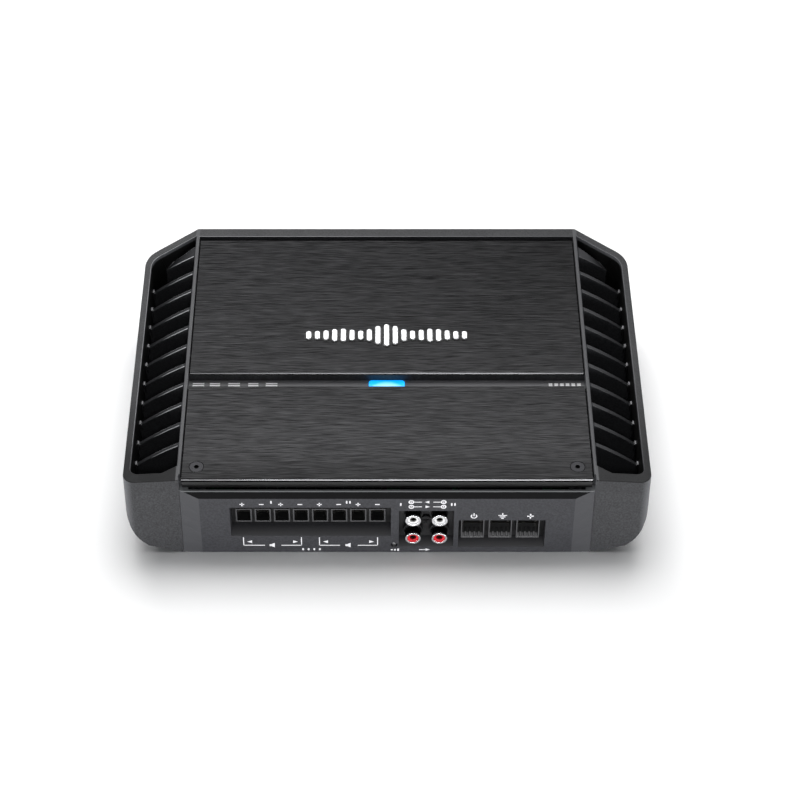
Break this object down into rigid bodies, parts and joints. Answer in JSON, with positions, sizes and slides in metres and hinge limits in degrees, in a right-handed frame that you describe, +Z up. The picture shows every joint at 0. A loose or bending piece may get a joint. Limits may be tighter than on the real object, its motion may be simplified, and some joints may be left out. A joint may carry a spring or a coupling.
{
  "type": "car amplifier",
  "caption": "Car audio power amplifier: cast heatsink with finned side bays, brushed top plates, lift-off control cover, speaker, power and phono connectors on the front.",
  "frame": {"origin": "middle of the base, on the surface it rests on", "axes": "+X to the right seen from the connector panel, +Y from the connector panel to the rear, +Z up"},
  "size_m": [0.2764, 0.2046, 0.0534],
  "materials": {
    "casting": "fine textured dark grey powder coat on cast aluminium",
    "top_plates": "black anodised, brushed along X",
    "cover_screws": "black oxide, hex socket",
    "front_panel": "satin dark grey paint on die-cast panel",
    "base_plate": "matt black powder-coated steel sheet",
    "black_screws": "black oxide",
    "badge": "bright chrome",
    "status_light": "blue translucent light pipe",
    "circuit_board": "green solder mask on glass laminate",
    "zinc_screws": "zinc plated steel",
    "terminal_plastic": "black glass-filled nylon",
    "terminal_metal": "tin-plated brass",
    "jack_plastic": "black moulded plastic",
    "jack_chrome": "nickel-chrome plated brass barrel",
    "white_plastic": "white moulded insulator",
    "red_plastic": "red moulded insulator",
    "jack_contact": "plated spring contact",
    "clip_light": "clear lens",
    "tray_plastic": "black moulded tray",
    "control_body": "dark moulded control body",
    "winding": "enamelled copper winding on a ring core",
    "capacitor": "sleeved aluminium can",
    "transistor": "black epoxy package",
    "knob": "black knurled knob",
    "slider": "white switch lever"
  },
  "bodies": {
    "chassis": {"heatsink_casting": "casting", "rear_top_plate": "top_plates", "front_panel": "front_panel", "bottom_plate": "base_plate", "bottom_plate_screws": "black_screws", "badge": "badge", "status_light_pipe": "status_light", "main_board": "circuit_board", "m3_screws": "zinc_screws", "speaker_terminal_block": "terminal_plastic", "power_terminal_block": "terminal_plastic", "terminal_contact_bars": "terminal_metal", "phono_jack_housing": "jack_plastic", "phono_jack_shells": "jack_chrome", "phono_white_insulators": "white_plastic", "phono_red_insulators": "red_plastic", "phono_centre_contacts": "jack_contact", "clip_light": "clip_light", "control_tray": "tray_plastic", "control_board": "circuit_board", "potentiometer_bodies": "control_body", "switch_bodies": "control_body", "power_transformer": "winding", "storage_capacitors": "capacitor", "filter_inductors": "winding", "power_transistors": "transistor", "transistor_clamps": "zinc_screws"},
    "cover": {"control_cover": "top_plates", "control_cover_screws": "cover_screws"},
    "knob_front_gain": {"knob_front_gain": "knob"},
    "knob_front_crossover": {"knob_front_crossover": "knob"},
    "knob_front_bass": {"knob_front_bass": "knob"},
    "knob_rear_gain": {"knob_rear_gain": "knob"},
    "knob_rear_crossover": {"knob_rear_crossover": "knob"},
    "knob_rear_bass": {"knob_rear_bass": "knob"},
    "slider_front_crossover": {"slider_front_crossover": "slider"},
    "slider_input_mode": {"slider_input_mode": "slider"},
    "slider_rear_crossover": {"slider_rear_crossover": "slider"},
    "speaker_clamp_screw_1": {"speaker_clamp_screw_1": "zinc_screws"},
    "speaker_clamp_cage_1": {"speaker_clamp_cage_1": "terminal_metal"},
    "speaker_clamp_screw_2": {"speaker_clamp_screw_2": "zinc_screws"},
    "speaker_clamp_cage_2": {"speaker_clamp_cage_2": "terminal_metal"},
    "speaker_clamp_screw_3": {"speaker_clamp_screw_3": "zinc_screws"},
    "speaker_clamp_cage_3": {"speaker_clamp_cage_3": "terminal_metal"},
    "speaker_clamp_screw_4": {"speaker_clamp_screw_4": "zinc_screws"},
    "speaker_clamp_cage_4": {"speaker_clamp_cage_4": "terminal_metal"},
    "speaker_clamp_screw_5": {"speaker_clamp_screw_5": "zinc_screws"},
    "speaker_clamp_cage_5": {"speaker_clamp_cage_5": "terminal_metal"},
    "speaker_clamp_screw_6": {"speaker_clamp_screw_6": "zinc_screws"},
    "speaker_clamp_cage_6": {"speaker_clamp_cage_6": "terminal_metal"},
    "speaker_clamp_screw_7": {"speaker_clamp_screw_7": "zinc_screws"},
    "speaker_clamp_cage_7": {"speaker_clamp_cage_7": "terminal_metal"},
    "speaker_clamp_screw_8": {"speaker_clamp_screw_8": "zinc_screws"},
    "speaker_clamp_cage_8": {"speaker_clamp_cage_8": "terminal_metal"},
    "power_clamp_screw_1": {"power_clamp_screw_1": "zinc_screws"},
    "power_clamp_cage_1": {"power_clamp_cage_1": "terminal_metal"},
    "power_clamp_screw_2": {"power_clamp_screw_2": "zinc_screws"},
    "power_clamp_cage_2": {"power_clamp_cage_2": "terminal_metal"},
    "power_clamp_screw_3": {"power_clamp_screw_3": "zinc_screws"},
    "power_clamp_cage_3": {"power_clamp_cage_3": "terminal_metal"}
  },
  "joints": [
    {"name": "cover_lift", "type": "slide", "parent": "chassis", "child": "cover", "axis": [0, 0, 1], "range_m": [0, 0.06]},
    {"name": "knob_front_gain_turn", "type": "hinge", "parent": "chassis", "child": "knob_front_gain", "pos_m": [-0.055, -0.06315, 0.046], "axis": [0, 0, 1], "range_deg": [-140, 140]},
    {"name": "knob_front_crossover_turn", "type": "hinge", "parent": "chassis", "child": "knob_front_crossover", "pos_m": [-0.033, -0.06315, 0.046], "axis": [0, 0, 1], "range_deg": [-140, 140]},
    {"name": "knob_front_bass_turn", "type": "hinge", "parent": "chassis", "child": "knob_front_bass", "pos_m": [-0.011, -0.06315, 0.046], "axis": [0, 0, 1], "range_deg": [-140, 140]},
    {"name": "knob_rear_gain_turn", "type": "hinge", "parent": "chassis", "child": "knob_rear_gain", "pos_m": [0.011, -0.06315, 0.046], "axis": [0, 0, 1], "range_deg": [-140, 140]},
    {"name": "knob_rear_crossover_turn", "type": "hinge", "parent": "chassis", "child": "knob_rear_crossover", "pos_m": [0.033, -0.06315, 0.046], "axis": [0, 0, 1], "range_deg": [-140, 140]},
    {"name": "knob_rear_bass_turn", "type": "hinge", "parent": "chassis", "child": "knob_rear_bass", "pos_m": [0.055, -0.06315, 0.046], "axis": [0, 0, 1], "range_deg": [-140, 140]},
    {"name": "slider_front_crossover_slide", "type": "slide", "parent": "chassis", "child": "slider_front_crossover", "axis": [1, 0, 0], "range_m": [-0.002, 0.002]},
    {"name": "slider_input_mode_slide", "type": "slide", "parent": "chassis", "child": "slider_input_mode", "axis": [1, 0, 0], "range_m": [0, 0.004]},
    {"name": "slider_rear_crossover_slide", "type": "slide", "parent": "chassis", "child": "slider_rear_crossover", "axis": [1, 0, 0], "range_m": [-0.002, 0.002]},
    {"name": "speaker_clamp_cage_1_rise", "type": "slide", "parent": "chassis", "child": "speaker_clamp_cage_1", "axis": [0, 0, 1], "range_m": [0, 0.0045]},
    {"name": "speaker_clamp_screw_1_turn", "type": "hinge", "parent": "chassis", "child": "speaker_clamp_screw_1", "pos_m": [-0.0762, -0.08395, 0.03], "axis": [0, 0, -1], "range_deg": [0, 3241]},
    {"name": "speaker_clamp_cage_2_rise", "type": "slide", "parent": "chassis", "child": "speaker_clamp_cage_2", "axis": [0, 0, 1], "range_m": [0, 0.0045]},
    {"name": "speaker_clamp_screw_2_turn", "type": "hinge", "parent": "chassis", "child": "speaker_clamp_screw_2", "pos_m": [-0.06604, -0.08395, 0.03], "axis": [0, 0, -1], "range_deg": [0, 3241]},
    {"name": "speaker_clamp_cage_3_rise", "type": "slide", "parent": "chassis", "child": "speaker_clamp_cage_3", "axis": [0, 0, 1], "range_m": [0, 0.0045]},
    {"name": "speaker_clamp_screw_3_turn", "type": "hinge", "parent": "chassis", "child": "speaker_clamp_screw_3", "pos_m": [-0.05588, -0.08395, 0.03], "axis": [0, 0, -1], "range_deg": [0, 3241]},
    {"name": "speaker_clamp_cage_4_rise", "type": "slide", "parent": "chassis", "child": "speaker_clamp_cage_4", "axis": [0, 0, 1], "range_m": [0, 0.0045]},
    {"name": "speaker_clamp_screw_4_turn", "type": "hinge", "parent": "chassis", "child": "speaker_clamp_screw_4", "pos_m": [-0.04572, -0.08395, 0.03], "axis": [0, 0, -1], "range_deg": [0, 3241]},
    {"name": "speaker_clamp_cage_5_rise", "type": "slide", "parent": "chassis", "child": "speaker_clamp_cage_5", "axis": [0, 0, 1], "range_m": [0, 0.0045]},
    {"name": "speaker_clamp_screw_5_turn", "type": "hinge", "parent": "chassis", "child": "speaker_clamp_screw_5", "pos_m": [-0.03556, -0.08395, 0.03], "axis": [0, 0, -1], "range_deg": [0, 3241]},
    {"name": "speaker_clamp_cage_6_rise", "type": "slide", "parent": "chassis", "child": "speaker_clamp_cage_6", "axis": [0, 0, 1], "range_m": [0, 0.0045]},
    {"name": "speaker_clamp_screw_6_turn", "type": "hinge", "parent": "chassis", "child": "speaker_clamp_screw_6", "pos_m": [-0.0254, -0.08395, 0.03], "axis": [0, 0, -1], "range_deg": [0, 3241]},
    {"name": "speaker_clamp_cage_7_rise", "type": "slide", "parent": "chassis", "child": "speaker_clamp_cage_7", "axis": [0, 0, 1], "range_m": [0, 0.0045]},
    {"name": "speaker_clamp_screw_7_turn", "type": "hinge", "parent": "chassis", "child": "speaker_clamp_screw_7", "pos_m": [-0.01524, -0.08395, 0.03], "axis": [0, 0, -1], "range_deg": [0, 3241]},
    {"name": "speaker_clamp_cage_8_rise", "type": "slide", "parent": "chassis", "child": "speaker_clamp_cage_8", "axis": [0, 0, 1], "range_m": [0, 0.0045]},
    {"name": "speaker_clamp_screw_8_turn", "type": "hinge", "parent": "chassis", "child": "speaker_clamp_screw_8", "pos_m": [-0.00508, -0.08395, 0.03], "axis": [0, 0, -1], "range_deg": [0, 3241]},
    {"name": "power_clamp_cage_1_rise", "type": "slide", "parent": "chassis", "child": "power_clamp_cage_1", "axis": [0, 0, 1], "range_m": [0, 0.0056]},
    {"name": "power_clamp_screw_1_turn", "type": "hinge", "parent": "chassis", "child": "power_clamp_screw_1", "pos_m": [0.0456, -0.08265, 0.03], "axis": [0, 0, -1], "range_deg": [0, 2521]},
    {"name": "power_clamp_cage_2_rise", "type": "slide", "parent": "chassis", "child": "power_clamp_cage_2", "axis": [0, 0, 1], "range_m": [0, 0.0056]},
    {"name": "power_clamp_screw_2_turn", "type": "hinge", "parent": "chassis", "child": "power_clamp_screw_2", "pos_m": [0.0603, -0.08265, 0.03], "axis": [0, 0, -1], "range_deg": [0, 2521]},
    {"name": "power_clamp_cage_3_rise", "type": "slide", "parent": "chassis", "child": "power_clamp_cage_3", "axis": [0, 0, 1], "range_m": [0, 0.0056]},
    {"name": "power_clamp_screw_3_turn", "type": "hinge", "parent": "chassis", "child": "power_clamp_screw_3", "pos_m": [0.075, -0.08265, 0.03], "axis": [0, 0, -1], "range_deg": [0, 2521]}
  ],
  "couplings": [
    {"joint": "speaker_clamp_screw_1_turn", "follows": "speaker_clamp_cage_1_rise", "rad_per_m": 12566},
    {"joint": "speaker_clamp_screw_2_turn", "follows": "speaker_clamp_cage_2_rise", "rad_per_m": 12566},
    {"joint": "speaker_clamp_screw_3_turn", "follows": "speaker_clamp_cage_3_rise", "rad_per_m": 12566},
    {"joint": "speaker_clamp_screw_4_turn", "follows": "speaker_clamp_cage_4_rise", "rad_per_m": 12566},
    {"joint": "speaker_clamp_screw_5_turn", "follows": "speaker_clamp_cage_5_rise", "rad_per_m": 12566},
    {"joint": "speaker_clamp_screw_6_turn", "follows": "speaker_clamp_cage_6_rise", "rad_per_m": 12566},
    {"joint": "speaker_clamp_screw_7_turn", "follows": "speaker_clamp_cage_7_rise", "rad_per_m": 12566},
    {"joint": "speaker_clamp_screw_8_turn", "follows": "speaker_clamp_cage_8_rise", "rad_per_m": 12566},
    {"joint": "power_clamp_screw_1_turn", "follows": "power_clamp_cage_1_rise", "rad_per_m": 7854},
    {"joint": "power_clamp_screw_2_turn", "follows": "power_clamp_cage_2_rise", "rad_per_m": 7854},
    {"joint": "power_clamp_screw_3_turn", "follows": "power_clamp_cage_3_rise", "rad_per_m": 7854}
  ]
}
